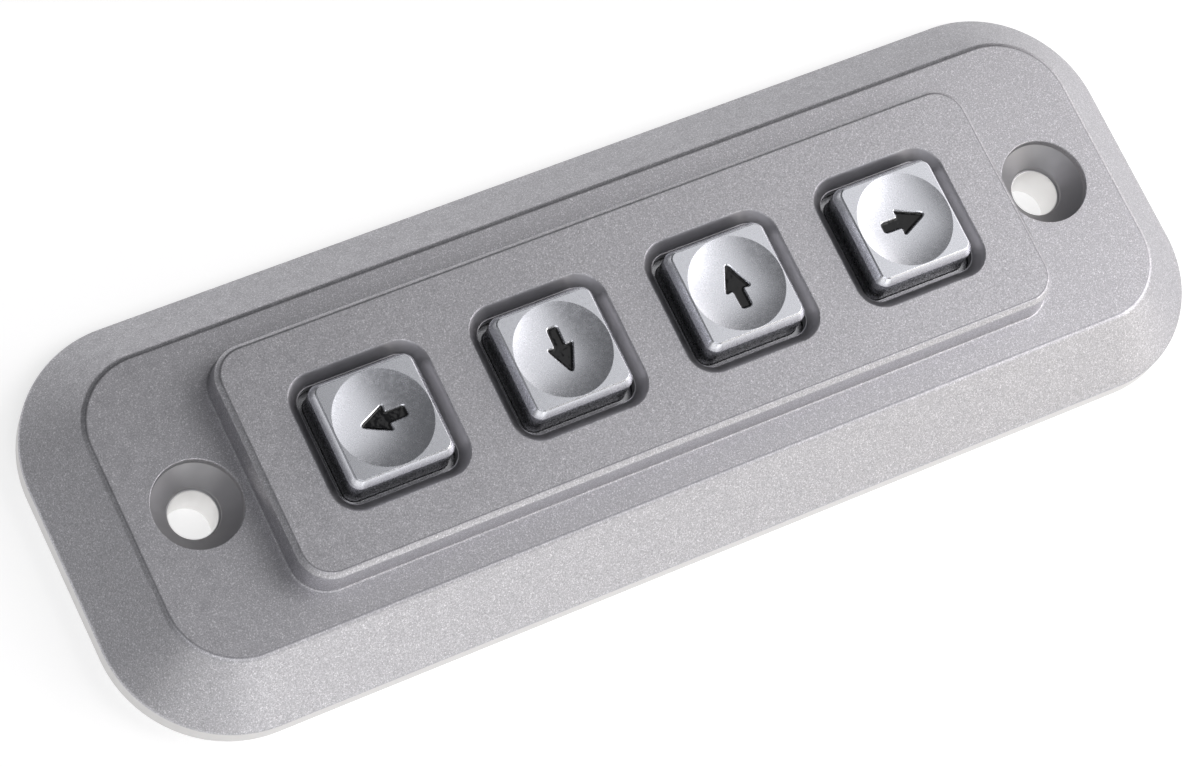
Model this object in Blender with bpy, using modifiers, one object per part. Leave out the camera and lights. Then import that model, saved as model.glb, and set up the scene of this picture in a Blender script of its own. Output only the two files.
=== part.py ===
"""Four-key metal arrow keypad for flush mounting: a die-cast bezel, four sprung metal keys and the switch
stack that is clamped behind them. Metres, +Z out of the face, +X along the row of keys. The origin is at the
middle of the bezel's back face."""

from math import cos, pi, radians, sin, sqrt

import bmesh
import bpy

# Key grid
KEY_PITCH = 0.01905
KEYS = (("left", 180), ("down", -90), ("up", 90), ("right", 0))  # name and the arrow's heading in degrees
KEY_XS = [(i - (len(KEYS) - 1) / 2) * KEY_PITCH for i in range(len(KEYS))]
TRAVEL = 0.0012
GAP = 0.0003  # between pieces that rest on each other

# Bezel, outside: half length, half width and corner radius of each outline, with its height
BASE_HALF = (0.0594, 0.0211)
BASE_RADIUS = 0.0126
LIP_TOP = 0.0023
PLATEAU_HALF = (0.0539, 0.01575)
PLATEAU_RADIUS = 0.0071
PLATEAU_TOP = 0.0080
FOOT_HALF = (0.04145, 0.01245)
FOOT_RADIUS = 0.0036
PANEL_TOP = 0.0113
PANEL_EDGE = 0.00045
PANEL_DRAFT = 0.0002
EDGE_ROUNDING = 0.00035

# Key windows
WINDOW_HALF = 0.00618
WINDOW_RADIUS = 0.0018
WINDOW_ROUNDING = 0.00113

# Mounting holes
HOLE_X = 0.0468
HOLE_RADIUS = 0.00238
SINK_RADIUS = 0.0044
SINK_LAND = 0.0008
SINK_FOOT_RADIUS = 0.0026
SINK_FOOT_LAND = 0.0005

# Bezel, inside
POCKET_HALF = (0.0395, 0.0150)
POCKET_RADIUS = 0.0020
POCKET_TOP = 0.0058
KEY_POCKET_HALF = (0.0386, 0.0100)
KEY_POCKET_TOP = 0.0091
END_POCKET_HALF = (0.0040, 0.0036)
END_POCKET_AT = (0.0470, 0.0112)
END_POCKET_TOP = 0.0050
GROOVE_OUTER_INSET = 0.0018
GROOVE_WIDTH = 0.0020
GROOVE_DEPTH = 0.0012

# Keys
KEY_FLAT_HALF = 0.00494
KEY_FLAT_RADIUS = 0.0007
KEY_HALF = 0.00552
KEY_RADIUS = 0.0012
KEY_TOP = 0.01315
KEY_BEVEL_HEIGHT = 0.00095
FLANGE_HALF = 0.0069
FLANGE_RADIUS = 0.0016
FLANGE_THICKNESS = 0.0012
FLANGE_TOP = KEY_POCKET_TOP - GAP
KEY_BOTTOM = FLANGE_TOP - FLANGE_THICKNESS
DISH_RADIUS = 0.00490
DISH_DEPTH = 0.00045

# Arrow recess and its infill
ARROW_LENGTH = 0.00495
ARROW_HEAD_LENGTH = 0.0029
ARROW_HEAD_WIDTH = 0.0028
ARROW_SHAFT_WIDTH = 0.0011
ARROW_SWEEP = 0.00015
ARROW_DEPTH = 0.0005
ARROW_CLEARANCE = 0.0001

# Stack behind the keys
BOARD_HALF = (0.0383, 0.0110)
BOARD_BOTTOM = 0.0028
BOARD_THICKNESS = 0.0016
BOARD_TOP = BOARD_BOTTOM + BOARD_THICKNESS
MAT_BOTTOM = BOARD_TOP + GAP
MAT_TOP = POCKET_TOP - GAP
MAT_OPENING_RADIUS = 0.0046
DOME_FOOT_RADIUS = 0.0043
DOME_TOP_RADIUS = 0.0026
DOME_WALL = 0.0007
DOME_RIM_HEIGHT = 0.0006
DOME_TOP = KEY_BOTTOM - GAP
CONTACT_RADIUS = 0.0015
CONTACT_THICKNESS = 0.0005
CONTACT_BOTTOM = BOARD_TOP + TRAVEL + 0.0001

# Rear cover, its screws and the connector
COVER_HALF = (POCKET_HALF[0] - GAP, POCKET_HALF[1] - GAP)
COVER_BOTTOM = 0.0009
COVER_THICKNESS = 0.0010
COVER_TOP = COVER_BOTTOM + COVER_THICKNESS
RIB_Y = 0.0096
RIB_HALF = (0.0340, 0.0006)
SCREW_XS = (-0.0362, 0.0, 0.0362)
SCREW_Y = 0.0131
BOSS_RADIUS = 0.0018
BOSS_BOTTOM = COVER_TOP + GAP
SCREW_RADIUS = 0.0009
SCREW_HOLE_RADIUS = 0.0012
SCREW_HOLE_TOP = 0.0053
SCREW_TOP = 0.0050
SCREW_HEAD_RADIUS = 0.0018
SCREW_HEAD_BOTTOM = 0.00005
SCREW_HEAD_TOP = COVER_BOTTOM - GAP
PIN_COUNT = 6
PIN_PITCH = 0.00254
PIN_SIDE = 0.00064
PIN_BOTTOM = 0.0003
HEADER_X = 0.0190
HEADER_HALF = (PIN_COUNT * PIN_PITCH / 2, PIN_PITCH / 2)
HEADER_BOTTOM = 0.0012
HEADER_TOP = BOARD_BOTTOM - GAP
HEADER_SLOT_HALF = (0.0090, 0.0030)
HEADER_SLOT_RADIUS = 0.0008

# Seal between the bezel and the panel behind it
GASKET_SIDE_GAP = GAP

BEYOND = 0.0010  # how far a cutter reaches past the face that it cuts


def clear_scene():
    for obj in list(bpy.data.objects):
        bpy.data.objects.remove(obj, do_unlink=True)


def new_collection(name):
    collection = bpy.data.collections.new(name)
    bpy.context.scene.collection.children.link(collection)
    return collection


def material(name, colour, roughness, metallic=0.0):
    made = bpy.data.materials.new(name)
    made.use_nodes = True
    shader = made.node_tree.nodes["Principled BSDF"]
    shader.inputs["Base Color"].default_value = (*colour, 1.0)
    shader.inputs["Roughness"].default_value = roughness
    shader.inputs["Metallic"].default_value = metallic
    return made


def add_object(name, bm, look=None):
    """A mesh object from bm. With no look it is a cutter, which no render shows."""
    bmesh.ops.recalc_face_normals(bm, faces=bm.faces)
    mesh = bpy.data.meshes.new(name)
    bm.to_mesh(mesh)
    bm.free()
    obj = bpy.data.objects.new(name, mesh)
    if look:
        mesh.materials.append(look)
        PARTS.objects.link(obj)
    else:
        obj.hide_render = True
        obj.display_type = "WIRE"
        CUTTERS.objects.link(obj)
    return obj


def rounded_rectangle(half, radius, z, arc_steps):
    """Points round a rectangle with round corners, counter-clockwise from above."""
    points = []
    for quarter, (sx, sy) in enumerate(((1, 1), (-1, 1), (-1, -1), (1, -1))):
        cx = sx * (half[0] - radius)
        cy = sy * (half[1] - radius)
        for step in range(arc_steps + 1):
            angle = (quarter + step / arc_steps) * pi / 2
            points.append((cx + radius * cos(angle), cy + radius * sin(angle), z))
    return points


def loft(name, sections, look=None, at=(0.0, 0.0), arc_steps=6):
    """A closed solid through rounded rectangles, each (half sizes, radius, height), from the bottom up."""
    bm = bmesh.new()
    rings = []
    for half, radius, z in sections:
        points = rounded_rectangle(half, radius, z, arc_steps)
        rings.append([bm.verts.new(point) for point in points])
    for lower, upper in zip(rings, rings[1:]):
        for i in range(len(lower)):
            j = (i + 1) % len(lower)
            bm.faces.new((lower[i], lower[j], upper[j], upper[i]))
    bm.faces.new(rings[0][::-1])
    bm.faces.new(rings[-1])
    obj = add_object(name, bm, look)
    obj.location = (*at, 0.0)
    return obj


def grown(half, by):
    return (half[0] + by, half[1] + by)


def block(name, half, radius, bottom, top, look=None, at=(0.0, 0.0), arc_steps=4):
    return loft(name, [(half, radius, bottom), (half, radius, top)], look, at, arc_steps)


def cylinder(name, radius, bottom, top, look=None, at=(0.0, 0.0), segments=20):
    bm = bmesh.new()
    bmesh.ops.create_cone(
        bm, cap_ends=True, segments=segments, radius1=radius, radius2=radius, depth=top - bottom
    )
    obj = add_object(name, bm, look)
    obj.location = (*at, (bottom + top) / 2)
    return obj


def box(name, half, bottom, top, look=None, at=(0.0, 0.0)):
    bm = bmesh.new()
    bmesh.ops.create_cube(bm, size=1.0)
    bmesh.ops.scale(bm, vec=(2 * half[0], 2 * half[1], top - bottom), verts=bm.verts)
    obj = add_object(name, bm, look)
    obj.location = (*at, (bottom + top) / 2)
    return obj


def turned(name, profile, look=None, at=(0.0, 0.0), steps=24):
    """A solid turned about Z from a profile of (radius, height) that starts and ends on the axis, top first."""
    mesh = bpy.data.meshes.new(name)
    edges = [(i, i + 1) for i in range(len(profile) - 1)]
    mesh.from_pydata([(radius, 0.0, z) for radius, z in profile], edges, [])
    obj = bpy.data.objects.new(name, mesh)
    screw = obj.modifiers.new("turn", "SCREW")
    screw.steps = screw.render_steps = steps
    screw.use_merge_vertices = True
    screw.merge_threshold = 1e-6
    if look:
        mesh.materials.append(look)
        PARTS.objects.link(obj)
    else:
        obj.hide_render = True
        obj.display_type = "WIRE"
        CUTTERS.objects.link(obj)
    obj.location = (*at, 0.0)
    return obj


def combine(target, others, operation="DIFFERENCE"):
    for other in others:
        modifier = target.modifiers.new(other.name, "BOOLEAN")
        modifier.operation = operation
        modifier.solver = "EXACT"
        modifier.object = other


def arrow_outline(clearance=0.0):
    """The arrow's outline along +X, centred on its length, drawn in by clearance on every side."""
    tip = ARROW_LENGTH / 2
    neck = tip - ARROW_HEAD_LENGTH
    barb_y = ARROW_HEAD_WIDTH / 2
    slope = barb_y / (ARROW_HEAD_LENGTH + ARROW_SWEEP)
    tip_inset = clearance * sqrt(1 + slope * slope) / slope
    shaft_y = ARROW_SHAFT_WIDTH / 2 - clearance
    back = neck + clearance
    barb_x = back - ARROW_SWEEP
    barb_y = slope * (tip - tip_inset - barb_x)
    tail = -ARROW_LENGTH / 2 + clearance
    upper = [(tip - tip_inset, 0.0), (barb_x, barb_y), (back, shaft_y), (tail, shaft_y)]
    return upper + [(x, -y) for x, y in reversed(upper[1:])]


def arrow_prism(name, heading, clearance, bottom, top, look=None, at=(0.0, 0.0)):
    bm = bmesh.new()
    flat = [bm.verts.new((x, y, bottom)) for x, y in arrow_outline(clearance)]
    face = bm.faces.new(flat)
    raised = bmesh.ops.extrude_face_region(bm, geom=[face])["geom"]
    moved = [item for item in raised if isinstance(item, bmesh.types.BMVert)]
    bmesh.ops.translate(bm, vec=(0.0, 0.0, top - bottom), verts=moved)
    obj = add_object(name, bm, look)
    obj.location = (*at, 0.0)
    obj.rotation_euler = (0.0, 0.0, radians(heading))
    return obj


def window_cutter(name, x):
    """The opening for one key, with its front edge rounded over."""
    sections = [((WINDOW_HALF, WINDOW_HALF), WINDOW_RADIUS, KEY_POCKET_TOP - BEYOND)]
    centre_z = PANEL_TOP - WINDOW_ROUNDING
    steps = 4
    for step in range(steps):
        angle = step / steps * pi / 2
        growth = WINDOW_ROUNDING * (1 - cos(angle))
        sections.append(
            (
                (WINDOW_HALF + growth, WINDOW_HALF + growth),
                WINDOW_RADIUS + growth,
                centre_z + WINDOW_ROUNDING * sin(angle),
            )
        )
    half, radius, z = sections[-1]
    # The last stretch runs on past the front face, so that it crosses it cleanly.
    run = (PANEL_TOP - z) * 2
    spread = (WINDOW_ROUNDING - (half[0] - WINDOW_HALF)) * 2
    sections.append((grown(half, spread), radius + spread, z + run))
    return loft(name, sections, at=(x, 0.0))


def sink_cutter(name, x):
    """The mounting hole with its countersink: a short land, a 90 degree cone, a second land and the hole."""
    cone_top = PLATEAU_TOP - SINK_LAND
    cone_foot = cone_top - (SINK_RADIUS - SINK_FOOT_RADIUS)
    profile = [
        (0.0, PANEL_TOP + BEYOND),
        (SINK_RADIUS, PANEL_TOP + BEYOND),
        (SINK_RADIUS, cone_top),
        (SINK_FOOT_RADIUS, cone_foot),
        (SINK_FOOT_RADIUS, cone_foot - SINK_FOOT_LAND),
        (HOLE_RADIUS, cone_foot - SINK_FOOT_LAND),
        (HOLE_RADIUS, -BEYOND),
        (0.0, -BEYOND),
    ]
    return turned(name, profile, at=(x, 0.0), steps=36)


def groove_cutter():
    outer = grown(BASE_HALF, -GROOVE_OUTER_INSET)
    outer_radius = BASE_RADIUS - GROOVE_OUTER_INSET
    ring = block("groove_cut", outer, outer_radius, -BEYOND, GROOVE_DEPTH, arc_steps=6)
    core = block(
        "groove_core",
        grown(outer, -GROOVE_WIDTH),
        outer_radius - GROOVE_WIDTH,
        -2 * BEYOND,
        GROOVE_DEPTH + BEYOND,
        arc_steps=6,
    )
    combine(ring, [core])
    return ring


def make_bezel(look):
    edge = EDGE_ROUNDING
    wall_top = grown(FOOT_HALF, -PANEL_DRAFT)
    panel = grown(wall_top, -PANEL_EDGE)
    bezel = loft(
        "bezel",
        [
            (BASE_HALF, BASE_RADIUS, 0.0),
            (BASE_HALF, BASE_RADIUS, LIP_TOP - edge / 2),
            (grown(BASE_HALF, -edge / 2), BASE_RADIUS - edge / 2, LIP_TOP + edge / 4),
            (grown(PLATEAU_HALF, edge / 2), PLATEAU_RADIUS + edge / 2, PLATEAU_TOP - edge / 2),
            (grown(PLATEAU_HALF, -edge / 4), PLATEAU_RADIUS - edge / 4, PLATEAU_TOP),
            (grown(FOOT_HALF, edge / 2), FOOT_RADIUS + edge / 2, PLATEAU_TOP),
            (FOOT_HALF, FOOT_RADIUS, PLATEAU_TOP + edge / 2),
            (wall_top, FOOT_RADIUS - PANEL_DRAFT, PANEL_TOP - PANEL_EDGE),
            (panel, FOOT_RADIUS - PANEL_DRAFT - PANEL_EDGE, PANEL_TOP),
        ],
        look,
        arc_steps=8,
    )
    pockets = [
        block("pocket_cut", POCKET_HALF, POCKET_RADIUS, -BEYOND, POCKET_TOP),
        block("key_pocket_cut", KEY_POCKET_HALF, POCKET_RADIUS, 0.0, KEY_POCKET_TOP),
    ]
    for i, (sx, sy) in enumerate(((1, 1), (-1, 1), (-1, -1), (1, -1))):
        at = (sx * END_POCKET_AT[0], sy * END_POCKET_AT[1])
        name = f"end_pocket_cut_{i + 1}"
        pockets.append(block(name, END_POCKET_HALF, POCKET_RADIUS, -BEYOND, END_POCKET_TOP, at=at))
    combine(bezel, pockets)
    bosses = []
    holes = []
    for i, at in enumerate(screw_places()):
        bosses.append(
            cylinder(f"boss_{i + 1}", BOSS_RADIUS, BOSS_BOTTOM, POCKET_TOP + BEYOND / 2, at=at)
        )
        holes.append(
            cylinder(
                f"boss_hole_{i + 1}", SCREW_HOLE_RADIUS, 0.0, SCREW_HOLE_TOP, at=at, segments=16
            )
        )
    combine(bezel, bosses, "UNION")
    combine(bezel, holes)
    combine(bezel, [groove_cutter()])
    combine(bezel, [sink_cutter(f"sink_cut_{side}", side * HOLE_X) for side in (-1, 1)])
    combine(bezel, [window_cutter(f"window_cut_{i + 1}", x) for i, x in enumerate(KEY_XS)])
    return bezel


def dish_cutter(name, x):
    sphere_radius = (DISH_RADIUS**2 + DISH_DEPTH**2) / (2 * DISH_DEPTH)
    centre_z = KEY_TOP - DISH_DEPTH + sphere_radius
    lid_z = KEY_TOP + DISH_DEPTH
    steps = 6
    # The arc runs a little past the flat top, so that it crosses it cleanly.
    widest = sqrt(sphere_radius**2 - (centre_z - lid_z) ** 2)
    profile = [(0.0, lid_z)]
    for step in range(steps + 1):
        radius = widest * (1 - step / steps)
        profile.append((radius, centre_z - sqrt(sphere_radius**2 - radius**2)))
    return turned(name, profile, at=(x, 0.0), steps=32)


def make_key(name, heading, x, metal, ink):
    flange = (FLANGE_HALF, FLANGE_HALF)
    body = (KEY_HALF, KEY_HALF)
    cap = loft(
        f"keycap_{name}",
        [
            (flange, FLANGE_RADIUS, KEY_BOTTOM),
            (flange, FLANGE_RADIUS, FLANGE_TOP),
            (body, KEY_RADIUS, FLANGE_TOP),
            (body, KEY_RADIUS, KEY_TOP - KEY_BEVEL_HEIGHT),
            ((KEY_FLAT_HALF, KEY_FLAT_HALF), KEY_FLAT_RADIUS, KEY_TOP),
        ],
        metal,
        at=(x, 0.0),
        arc_steps=4,
    )
    floor_z = KEY_TOP - DISH_DEPTH - ARROW_DEPTH
    recess = arrow_prism(f"arrow_cut_{name}", heading, 0.0, floor_z, KEY_TOP, at=(x, 0.0))
    combine(cap, [dish_cutter(f"dish_cut_{name}", x), recess])
    infill_bottom = floor_z + ARROW_CLEARANCE
    infill_top = KEY_TOP - DISH_DEPTH - ARROW_CLEARANCE
    arrow_prism(f"arrow_{name}", heading, ARROW_CLEARANCE, infill_bottom, infill_top, ink, (x, 0.0))


def make_dome(name, x, look):
    """One collapsing dome of the key mat: a thin cone on a rim, open below, with a solid top."""
    rim_top = MAT_BOTTOM + DOME_RIM_HEIGHT
    ceiling = DOME_TOP - DOME_WALL
    profile = [
        (0.0, DOME_TOP),
        (DOME_TOP_RADIUS, DOME_TOP),
        (DOME_FOOT_RADIUS - DOME_WALL / 2, rim_top),
        (DOME_FOOT_RADIUS, rim_top),
        (DOME_FOOT_RADIUS, MAT_BOTTOM),
        (DOME_FOOT_RADIUS - DOME_WALL, MAT_BOTTOM),
        (DOME_FOOT_RADIUS - DOME_WALL, rim_top - DOME_WALL / 2),
        (DOME_TOP_RADIUS - DOME_WALL / 2, ceiling),
        (0.0, ceiling),
    ]
    turned(f"dome_{name}", profile, look, at=(x, 0.0), steps=20)


def make_keymat(look):
    mat = block("keymat", BOARD_HALF, POCKET_RADIUS, MAT_BOTTOM, MAT_TOP, look)
    openings = []
    for i, x in enumerate(KEY_XS):
        openings.append(
            cylinder(
                f"mat_cut_{i + 1}",
                MAT_OPENING_RADIUS,
                MAT_BOTTOM - BEYOND,
                MAT_TOP + BEYOND,
                at=(x, 0.0),
            )
        )
    combine(mat, openings)


def screw_places():
    return [(x, side * SCREW_Y) for x in SCREW_XS for side in (-1, 1)]


def make_cover(look):
    cover = block("rear_cover", COVER_HALF, POCKET_RADIUS, COVER_BOTTOM, COVER_TOP, look)
    rib_bottom = (COVER_BOTTOM + COVER_TOP) / 2
    rib_top = BOARD_BOTTOM - GAP
    ribs = []
    for side in (-1, 1):
        at = (0.0, side * RIB_Y)
        ribs.append(box(f"rib_{side}", RIB_HALF, rib_bottom, rib_top, at=at))
    combine(cover, ribs, "UNION")
    low = COVER_BOTTOM - BEYOND
    high = COVER_TOP + BEYOND
    slot_at = (HEADER_X, 0.0)
    cutters = [block("header_slot", HEADER_SLOT_HALF, HEADER_SLOT_RADIUS, low, high, at=slot_at)]
    for i, at in enumerate(screw_places()):
        name = f"cover_hole_{i + 1}"
        cutters.append(cylinder(name, SCREW_HOLE_RADIUS, low, high, at=at, segments=16))
    combine(cover, cutters)


def make_screw(number, at, look):
    """A low pan-head screw with its head down, driven up into a boss."""
    profile = [
        (0.0, SCREW_TOP),
        (SCREW_RADIUS * 0.6, SCREW_TOP),
        (SCREW_RADIUS, SCREW_TOP - SCREW_RADIUS * 0.6),
        (SCREW_RADIUS, SCREW_HEAD_TOP),
        (SCREW_HEAD_RADIUS, SCREW_HEAD_TOP),
        (SCREW_HEAD_RADIUS, (SCREW_HEAD_BOTTOM + SCREW_HEAD_TOP) / 2),
        (SCREW_HEAD_RADIUS * 0.7, SCREW_HEAD_BOTTOM),
        (0.0, SCREW_HEAD_BOTTOM),
    ]
    turned(f"cover_screw_{number}", profile, look, at=at, steps=16)


def make_header(plastic, metal):
    """The pin header below the board, with its six pins in clearance holes."""
    header = box("header", HEADER_HALF, HEADER_BOTTOM, HEADER_TOP, plastic, (HEADER_X, 0.0))
    hole_half = (PIN_SIDE / 2 + GAP, PIN_SIDE / 2 + GAP)
    pin_half = (PIN_SIDE / 2, PIN_SIDE / 2)
    cutters = []
    for i in range(PIN_COUNT):
        at = (HEADER_X + (i - (PIN_COUNT - 1) / 2) * PIN_PITCH, 0.0)
        low = HEADER_BOTTOM - BEYOND
        high = HEADER_TOP + BEYOND
        cutters.append(box(f"pin_hole_{i + 1}", hole_half, low, high, at=at))
        box(f"header_pin_{i + 1}", pin_half, PIN_BOTTOM, HEADER_TOP, metal, at)
    combine(header, cutters)


def make_gasket(look):
    inset = GROOVE_OUTER_INSET + GASKET_SIDE_GAP
    outer = grown(BASE_HALF, -inset)
    outer_radius = BASE_RADIUS - inset
    width = GROOVE_WIDTH - 2 * GASKET_SIDE_GAP
    top = GROOVE_DEPTH - GAP
    gasket = block("panel_gasket", outer, outer_radius, 0.0, top, look, arc_steps=6)
    inner = grown(outer, -width)
    core = block("gasket_core", inner, outer_radius - width, -BEYOND, top + BEYOND, arc_steps=6)
    combine(gasket, [core])


clear_scene()
PARTS = new_collection("arrow_keypad")
CUTTERS = new_collection("cutters")

paint = material("silver_paint", (0.42, 0.42, 0.44), 0.42, 0.6)
chrome = material("satin_chrome", (0.72, 0.72, 0.75), 0.28, 1.0)
ink = material("arrow_black", (0.01, 0.01, 0.012), 0.15)
silicone = material("silicone", (0.03, 0.03, 0.032), 0.6)
carbon = material("carbon", (0.015, 0.015, 0.015), 0.7)
laminate = material("board_green", (0.02, 0.12, 0.06), 0.45)
steel = material("zinc_steel", (0.6, 0.6, 0.6), 0.35, 1.0)
plastic = material("black_plastic", (0.02, 0.02, 0.02), 0.5)
gold = material("gold_plate", (0.8, 0.6, 0.25), 0.25, 1.0)
rubber = material("black_rubber", (0.02, 0.02, 0.02), 0.8)

make_bezel(paint)
for (key_name, arrow_heading), key_x in zip(KEYS, KEY_XS):
    make_key(key_name, arrow_heading, key_x, chrome, ink)
    make_dome(key_name, key_x, silicone)
    cylinder(
        f"contact_{key_name}",
        CONTACT_RADIUS,
        CONTACT_BOTTOM,
        CONTACT_BOTTOM + CONTACT_THICKNESS,
        carbon,
        (key_x, 0.0),
    )
make_keymat(silicone)
block("circuit_board", BOARD_HALF, POCKET_RADIUS, BOARD_BOTTOM, BOARD_TOP, laminate)
make_header(plastic, gold)
make_cover(steel)
for index, place in enumerate(screw_places()):
    make_screw(index + 1, place, steel)
make_gasket(rubber)
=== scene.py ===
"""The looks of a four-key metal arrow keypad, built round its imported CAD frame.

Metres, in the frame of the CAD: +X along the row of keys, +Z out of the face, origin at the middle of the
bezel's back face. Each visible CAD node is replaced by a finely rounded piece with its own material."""

from math import cos, pi, radians, sin, sqrt

import bmesh
import bpy
from mathutils import Matrix, Vector


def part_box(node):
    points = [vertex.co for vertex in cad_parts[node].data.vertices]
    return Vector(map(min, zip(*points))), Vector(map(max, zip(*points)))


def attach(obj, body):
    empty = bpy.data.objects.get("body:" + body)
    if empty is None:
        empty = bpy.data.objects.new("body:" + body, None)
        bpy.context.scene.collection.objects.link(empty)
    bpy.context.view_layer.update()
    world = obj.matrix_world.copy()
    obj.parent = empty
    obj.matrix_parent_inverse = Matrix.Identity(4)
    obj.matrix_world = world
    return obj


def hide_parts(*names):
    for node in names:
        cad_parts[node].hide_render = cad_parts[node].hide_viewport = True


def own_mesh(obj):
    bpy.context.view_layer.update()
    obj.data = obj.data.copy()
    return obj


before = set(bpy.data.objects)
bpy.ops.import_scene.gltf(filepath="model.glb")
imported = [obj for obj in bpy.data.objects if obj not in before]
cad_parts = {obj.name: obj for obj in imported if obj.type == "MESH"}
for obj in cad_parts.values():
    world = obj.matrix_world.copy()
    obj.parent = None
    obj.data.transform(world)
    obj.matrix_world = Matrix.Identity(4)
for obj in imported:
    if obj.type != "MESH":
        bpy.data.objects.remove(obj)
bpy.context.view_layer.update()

# Camera, aimed at a point on the plateau
VIEW_TARGET = Vector((-0.00574, -0.00306, 0.0080))
VIEW_AZIMUTH = 55.85  # degrees from -Y towards -X
VIEW_ELEVATION = 64.70
VIEW_DISTANCE = 0.4009
VIEW_ROLL = 32.08
VIEW_LENS = 125.7

# Keys, each with its arrow's heading in degrees
HEADINGS = {"left": 180, "down": -90, "up": 90, "right": 0}

# Bezel
BASE_RADIUS = 0.0126
LIP_TOP = 0.0023
PLATEAU_INSET = (0.0055, 0.00535)
PLATEAU_RADIUS = 0.0071
PLATEAU_TOP = 0.0080
FOOT_HALF = (0.04145, 0.01245)
FOOT_RADIUS = 0.0036
PANEL_EDGE = 0.00045
PANEL_DRAFT = 0.0002
WINDOW_HALF = 0.00618
WINDOW_RADIUS = 0.0018
WINDOW_SLOPE = 0.00104  # across the slope inside the crisp outer edge
WINDOW_RIM = 0.00009  # the narrow ledge at the foot of the slope
WINDOW_RIM_DROP = 0.00115  # from the face down to the ledge
WINDOW_REACH_X = 0.0080  # how far the painted shade in the windows may reach from a key's middle
WINDOW_REACH_Y = 0.0078

# Mounting holes
HOLE_X = 0.0468
HOLE_RADIUS = 0.00238
SINK_RADIUS = 0.0044
SINK_LAND = 0.0008
SINK_FOOT_RADIUS = 0.0026
SINK_FOOT_LAND = 0.0005

# The bezel's back
POCKET_HALF = (0.0395, 0.0150)
POCKET_RADIUS = 0.0020
POCKET_TOP = 0.0058
KEY_POCKET_HALF = (0.0386, 0.0100)
KEY_POCKET_TOP = 0.0091
END_POCKET_HALF = (0.0040, 0.0036)
END_POCKET_AT = (0.0470, 0.0112)
END_POCKET_TOP = 0.0050
GROOVE_INSET = 0.0018
GROOVE_WIDTH = 0.0020
GROOVE_DEPTH = 0.0012
BOSS_RADIUS = 0.0018
BOSS_HOLE_RADIUS = 0.0012
BOSS_HOLE_TOP = 0.0053
BOSS_RISE = 0.0013  # from the rear cover's back to the bosses' feet

# Keycaps
KEY_HALF = 0.00552
KEY_RADIUS = 0.0012
FLAT_HALF = 0.00494
FLAT_RADIUS = 0.00070
FACET_WIDTH = 0.00013  # the narrow facet round the flat
FACET_HEIGHT = 0.00010
BEVEL_HEIGHT = 0.00095
FLANGE_RADIUS = 0.0016
FLANGE_THICKNESS = 0.0012
DISH_RADIUS = 0.00490
DISH_DEPTH = 0.00045

# Arrows
ARROW_LENGTH = 0.00495
HEAD_LENGTH = 0.0029
HEAD_WIDTH = 0.0028
SHAFT_WIDTH = 0.0011
HEAD_SWEEP = 0.00015
ARROW_DEPTH = 0.0005
ARROW_ROUNDING = 0.00034
ARROW_LIP = 0.00013
INK_DROP = 0.00016

# Rear cover and its screws
COVER_EDGE = 0.00015
COVER_HOLE_RADIUS = 0.0012
SLOT_HALF = (0.0090, 0.0030)
SLOT_RADIUS = 0.0008
SCREW_RADIUS = 0.0009
THREAD_PITCH = 0.00045
RECESS_HALF = (0.0011, 0.00022)
RECESS_DEPTH = 0.0004

# Key mat
DOME_FOOT_RADIUS = 0.0043
DOME_TOP_RADIUS = 0.0026
DOME_WALL = 0.0007
DOME_RIM_HEIGHT = 0.0006
MAT_OPENING_RADIUS = 0.0046
CONTACT_EDGE = 0.00012

# Header
PIN_COUNT = 6
PIN_PITCH = 0.00254
PIN_POINT = 0.00035

BEYOND = 0.0010  # how far a cutter reaches past the face that it cuts
SLIVER = 2e-7  # edges shorter than this are left-overs of a boolean
ROUND_STEPS = 96  # sides of a turned shape


# ---------------------------------------------------------------- shapes


def centre_of(node):
    low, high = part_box(node)
    return (low + high) / 2


def half_of(node):
    low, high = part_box(node)
    return (high - low) / 2


def grown(half, by):
    return (half[0] + by, half[1] + by)


def add_object(name, bm):
    bmesh.ops.recalc_face_normals(bm, faces=bm.faces)
    mesh = bpy.data.meshes.new(name)
    bm.to_mesh(mesh)
    bm.free()
    obj = bpy.data.objects.new(name, mesh)
    bpy.context.scene.collection.objects.link(obj)
    return obj


def rounded_rectangle(half, radius, z, arc_steps):
    """Points round a rectangle with round corners, counter-clockwise from above."""
    points = []
    for quarter, (sx, sy) in enumerate(((1, 1), (-1, 1), (-1, -1), (1, -1))):
        cx = sx * (half[0] - radius)
        cy = sy * (half[1] - radius)
        for step in range(arc_steps + 1):
            angle = (quarter + step / arc_steps) * pi / 2
            points.append((cx + radius * cos(angle), cy + radius * sin(angle), z))
    return points


def skin(name, rings, at=(0.0, 0.0)):
    """A closed solid through rings of as many points each, from the bottom up."""
    bm = bmesh.new()
    rows = [[bm.verts.new((x + at[0], y + at[1], z)) for x, y, z in ring] for ring in rings]
    for lower, upper in zip(rows, rows[1:]):
        for i in range(len(lower)):
            j = (i + 1) % len(lower)
            bm.faces.new((lower[i], lower[j], upper[j], upper[i]))
    bm.faces.new(rows[0][::-1])
    bm.faces.new(rows[-1])
    return add_object(name, bm)


def loft(name, sections, at=(0.0, 0.0), arc_steps=16):
    """A closed solid through rounded rectangles, each (half sizes, radius, height), from the bottom up."""
    rings = [rounded_rectangle(half, radius, z, arc_steps) for half, radius, z in sections]
    return skin(name, rings, at)


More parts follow.
